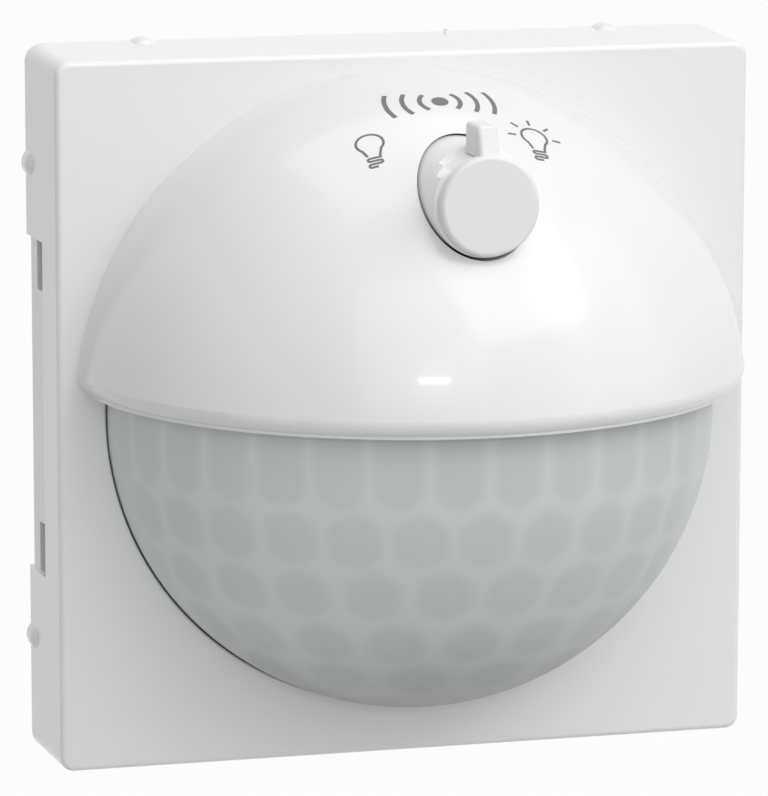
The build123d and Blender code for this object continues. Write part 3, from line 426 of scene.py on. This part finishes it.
def bulb_strokes():
    """A plain lamp bulb drawn in one stroke: round glass, neck and a winding line for the cap."""
    glass = arc((0.0, 0.0), BULB_RADIUS, 270 - GLASS_OPENING, GLASS_OPENING - 90, GLASS_STEPS)
    path = straight((-NECK_HALF, NECK_FOOT), glass[0]) + glass[1:]
    path += straight(glass[-1], (NECK_HALF, NECK_FOOT))[1:]
    path += straight((NECK_HALF, NECK_FOOT), (NECK_HALF, CAP_TOP), 2)[1:]
    path += straight((NECK_HALF, CAP_TOP), (-CAP_HALF, CAP_TOP))[1:]
    path += arc((-CAP_HALF, CAP_TOP - CAP_TURN), CAP_TURN, 90, 270, CAP_STEPS)[1:]
    path += arc((CAP_HALF, CAP_TOP - 3 * CAP_TURN), CAP_TURN, 90, -90, CAP_STEPS)
    path += arc((-CAP_HALF, CAP_TOP - 5 * CAP_TURN), CAP_TURN, 90, 270, CAP_STEPS)
    path += straight((-CAP_HALF, CAP_TOP - 6 * CAP_TURN), (CAP_LAST_HALF, CAP_TOP - 6 * CAP_TURN))[1:]
    return [(path, BULB_STROKE, False)]


def ray_strokes():
    """Short rays around the glass."""
    strokes = []
    for angle in RAY_ANGLES:
        turn = math.radians(angle)
        start = (RAY_INNER * math.cos(turn), RAY_INNER * math.sin(turn))
        end = (RAY_OUTER * math.cos(turn), RAY_OUTER * math.sin(turn))
        strokes.append((straight(start, end), RAY_STROKE, False))
    return strokes


def wave_strokes():
    """A sensing mark: a dot between three arcs on each side."""
    dot = arc((0.0, 0.0), DOT_STROKE_RADIUS, 0, DOT_LAST_ANGLE, DOT_STEPS)
    strokes = [(dot, 2 * DOT_STROKE_RADIUS, True)]
    for radius, half in WAVES:
        strokes.append((arc((0.0, 0.0), radius, -half, half), WAVE_STROKE, False))
        strokes.append((arc((0.0, 0.0), radius, 180 - half, 180 + half), WAVE_STROKE, False))
    return strokes


mark("mark_lamp_off", bulb_strokes(), LAMP_OFF_PLACE)
mark("mark_lamp_on", bulb_strokes() + ray_strokes(), LAMP_ON_PLACE)
mark("mark_sensing", wave_strokes(), SENSING_PLACE)


# Lens: a smooth milky shell whose front shows the soft relief of its cells

def cell_cover(azimuth, elevation):
    """1 in the middle of a lens cell, 0 on the ridges, both angles in degrees."""
    best = 0.0
    shrink = math.cos(math.radians(elevation))
    for row_elevation, pitch, offset, straight_half, narrower in CELL_ROWS:
        steps = azimuth / pitch - offset
        across = (steps - round(steps)) * pitch * shrink * narrower
        down = max(abs(elevation - row_elevation) - straight_half, 0.0)
        slanted = HEXAGON[0] * abs(across) + HEXAGON[1] * down
        far = (math.hypot(across, down) + max(abs(across), slanted)) / 2
        share = (CELL_OUTSIDE - far) / (CELL_OUTSIDE - CELL_INSIDE)
        share = min(max(share, 0.0), 1.0)
        best = max(best, share * share * (3 - 2 * share))
    from_middle = abs(azimuth - CELL_AZIMUTH_MIDDLE)
    edge = min(max((CELL_AZIMUTH_LIMIT - from_middle) / CELL_AZIMUTH_FADE, 0.0), 1.0)
    return best * edge


# How finely the lens is meshed
DOME_COLUMNS = 300
DOME_ROWS = 200
FOOT_STEPS = 180


def lens_shell():
    """The dome from the cover's front face to its top edge, outside and inside."""
    columns = DOME_COLUMNS
    rows = DOME_ROWS
    inner = LENS_RADIUS - LENS_WALL
    top = math.asin(LENS_TOP / LENS_RADIUS)
    points = []
    faces = []

    def grid(radius, relief):
        """Points over one face of the shell, dented inwards by the relief, and the first one's number."""
        first = len(points)
        for j in range(rows + 1):
            rise = -math.pi / 2 + (top + math.pi / 2) * j / rows
            for i in range(columns + 1):
                turn = -math.pi / 2 + math.pi * i / columns
                r = radius - relief * cell_cover(math.degrees(turn), math.degrees(rise))
                flat = r * math.cos(rise)
                points.append((flat * math.sin(turn), FRONT_Y - flat * math.cos(turn),
                               DOME_RISE + r * math.sin(rise)))
        return first

    outer_first = grid(LENS_RADIUS, CELL_RELIEF)
    inner_first = grid(inner, -CELL_HOLLOW)
    width = columns + 1
    for j in range(rows):
        for i in range(columns):
            a = outer_first + j * width + i
            faces.append((a, a + 1, a + width + 1, a + width))
            b = inner_first + j * width + i
            faces.append((b, b + width, b + width + 1, b + 1))
    for i in range(columns):
        a = outer_first + rows * width + i
        b = inner_first + rows * width + i
        faces.append((a, a + 1, b + 1, b))
    for j in range(rows):
        for i, flip in ((0, True), (columns, False)):
            a = outer_first + j * width + i
            b = inner_first + j * width + i
            face = (a, a + width, b + width, b)
            faces.append(face[::-1] if flip else face)
    return new_object("lens_dome", points, faces, MATERIALS["lens_plastic"])


def lens_foot():
    """Collar and flange of the lens, behind the cover's front face."""
    steps = FOOT_STEPS
    inner = LENS_RADIUS - LENS_WALL
    profile = ((LENS_RADIUS, FRONT_Y), (LENS_RADIUS, LENS_FLANGE_FRONT),
               (LENS_FLANGE_RADIUS, LENS_FLANGE_FRONT), (LENS_FLANGE_RADIUS, LENS_FLANGE_REAR),
               (inner, LENS_FLANGE_REAR), (inner, FRONT_Y))
    start = math.asin(LENS_TOP / LENS_RADIUS)
    points = []
    faces = []
    count = len(profile)
    for i in range(steps + 1):
        turn = start - (math.pi + 2 * start) * i / steps
        for radius, y in profile:
            points.append((radius * math.cos(turn), y, DOME_RISE + radius * math.sin(turn)))
    for i in range(steps):
        for k in range(count):
            a = i * count + k
            b = i * count + (k + 1) % count
            faces.append((a, b, b + count, a + count))
    faces.append(tuple(range(count))[::-1])
    faces.append(tuple(steps * count + k for k in range(count)))
    return new_object("lens_foot", points, faces, MATERIALS["lens_plastic"], smooth=False)


dome = lens_shell()
foot = lens_foot()
for piece in (dome, foot):
    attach(piece, "housing")
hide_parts("lens")


# Camera

def aim_camera():
    """The camera of the photograph."""
    azimuth = math.radians(CAMERA_AZIMUTH)
    elevation = math.radians(CAMERA_ELEVATION)
    roll = math.radians(CAMERA_ROLL)
    back = Vector((math.sin(azimuth) * math.cos(elevation), -math.cos(azimuth) * math.cos(elevation),
                   math.sin(elevation)))
    flat_right = Vector((math.cos(azimuth), math.sin(azimuth), 0.0))
    flat_up = back.cross(flat_right)
    right = math.cos(roll) * flat_right + math.sin(roll) * flat_up
    up = math.cos(roll) * flat_up - math.sin(roll) * flat_right
    data = bpy.data.cameras.new("camera")
    data.sensor_width = SENSOR
    data.lens = FOCAL_PIXELS * SENSOR / PHOTO_HEIGHT
    data.clip_start = CLIP_START
    camera = bpy.data.objects.new("camera", data)
    bpy.context.scene.collection.objects.link(camera)
    turn = Matrix((right, up, back)).transposed().to_4x4()
    place = back * CAMERA_DISTANCE + right * CAMERA_RIGHT + up * CAMERA_UP
    camera.matrix_world = Matrix.Translation(place) @ turn
    bpy.context.scene.camera = camera


# Lights, floor and backdrop

# Point that the lamps face
LAMP_TARGET = (0.0, -0.03, 0.0)

# Strength of the surround's light from above and from below, and the height where it settles
WORLD_ABOVE = 0.37
WORLD_BELOW = 0.52
WORLD_SETTLED = 0.5

# Share of the floor that reads as plain white, the colour of the rest, and the floor's place and size
FLOOR_GLOW = 0.965
FLOOR_COLOUR = (0.50, 0.50, 0.50, 1.0)
FLOOR_ROUGHNESS = 0.9
FLOOR_LEVEL = -0.20
FLOOR_HALF = 6.0

PLAIN_WHITE = (1.0, 1.0, 1.0, 1.0)

# Name, azimuth and elevation in degrees, distance, width and height in metres, and power in watts
LAMPS = (
    ("key", 35.0, 50.0, 1.0, 0.8, 0.8, 4.0),
    ("right", 65.0, 25.0, 1.0, 0.8, 0.8, 1.25),
    ("right_low", 30.0, 15.0, 1.0, 0.8, 0.8, 0.7),
    ("left", -80.0, 15.0, 1.0, 0.8, 0.8, 0.2),
    ("front", -10.0, 30.0, 1.0, 0.8, 0.8, 1.75),
    ("behind_top", 0.0, 100.0, 1.0, 0.8, 0.8, 1.9),
    ("front_strip", -6.2, 17.2, 1.1, 0.20, 0.045, 0.4),
)


def soft_box(name, azimuth, elevation, distance, width, height, power):
    """A rectangular lamp that faces the object; azimuth runs from -Y towards +X."""
    a = math.radians(azimuth)
    e = math.radians(elevation)
    away = Vector((math.sin(a) * math.cos(e), -math.cos(a) * math.cos(e), math.sin(e)))
    data = bpy.data.lights.new(name, "AREA")
    data.shape = "RECTANGLE"
    data.size = width
    data.size_y = height
    data.energy = power
    lamp = bpy.data.objects.new(name, data)
    bpy.context.scene.collection.objects.link(lamp)
    lamp.location = Vector(LAMP_TARGET) + away * distance
    lamp.rotation_euler = away.to_track_quat("Z", "Y").to_euler()


def seen_rays(add):
    """1 for rays from the camera and for mirrored or transmitted ones, 0 for light on surfaces."""
    path = add("ShaderNodeLightPath").outputs
    mirrored = add("ShaderNodeMath", {0: path["Is Glossy Ray"], 1: path["Is Transmission Ray"]},
                   operation="MAXIMUM").outputs["Value"]
    return add("ShaderNodeMath", {0: path["Is Camera Ray"], 1: mirrored},
               operation="MAXIMUM").outputs["Value"]


def white_world():
    """A white surround for the camera and for reflections, and a dimmer one for light, darker above."""
    world = bpy.data.worlds.new("surround")
    bpy.context.scene.world = world
    world.use_nodes = True
    tree = world.node_tree
    add = adder(tree)
    direction = add("ShaderNodeTexCoord").outputs["Generated"]
    height = add("ShaderNodeSeparateXYZ", {"Vector": direction}).outputs["Z"]
    level = add("ShaderNodeMapRange", {"Value": height,
                                       "From Min": -WORLD_SETTLED, "From Max": WORLD_SETTLED,
                                       "To Min": WORLD_BELOW, "To Max": WORLD_ABOVE},
                interpolation_type="SMOOTHSTEP").outputs["Result"]
    dim = tree.nodes["Background"]
    dim.inputs["Color"].default_value = PLAIN_WHITE
    tree.links.new(level, dim.inputs["Strength"])
    white = add("ShaderNodeBackground", {"Color": PLAIN_WHITE, "Strength": 1.0})
    mix = add("ShaderNodeMixShader", {0: seen_rays(add), 1: dim.outputs["Background"],
                                      2: white.outputs["Background"]})
    tree.links.new(mix.outputs["Shader"], tree.nodes["World Output"].inputs["Surface"])


def pale_floor():
    """A plain floor that reads white and still takes the object's shadow."""
    material, tree, shader, add = nodes_of("floor_white")
    shader.inputs["Base Color"].default_value = FLOOR_COLOUR
    shader.inputs["Roughness"].default_value = FLOOR_ROUGHNESS
    glow = add("ShaderNodeEmission", {"Color": PLAIN_WHITE, "Strength": 1.0})
    seen = add("ShaderNodeMath", {0: seen_rays(add), 1: FLOOR_GLOW}, operation="MULTIPLY")
    mix = add("ShaderNodeMixShader", {0: seen.outputs["Value"], 1: shader.outputs["BSDF"],
                                      2: glow.outputs["Emission"]})
    tree.links.new(mix.outputs["Shader"], tree.nodes["Material Output"].inputs["Surface"])
    corners = ((-1, -1), (1, -1), (1, 1), (-1, 1))
    points = [(x * FLOOR_HALF, y * FLOOR_HALF, FLOOR_LEVEL) for x, y in corners]
    floor = new_object("floor", points, [(0, 1, 2, 3)], material, smooth=False)


aim_camera()
white_world()
pale_floor()
for lamp_values in LAMPS:
    soft_box(*lamp_values)

bpy.context.scene.view_settings.view_transform = "Standard"
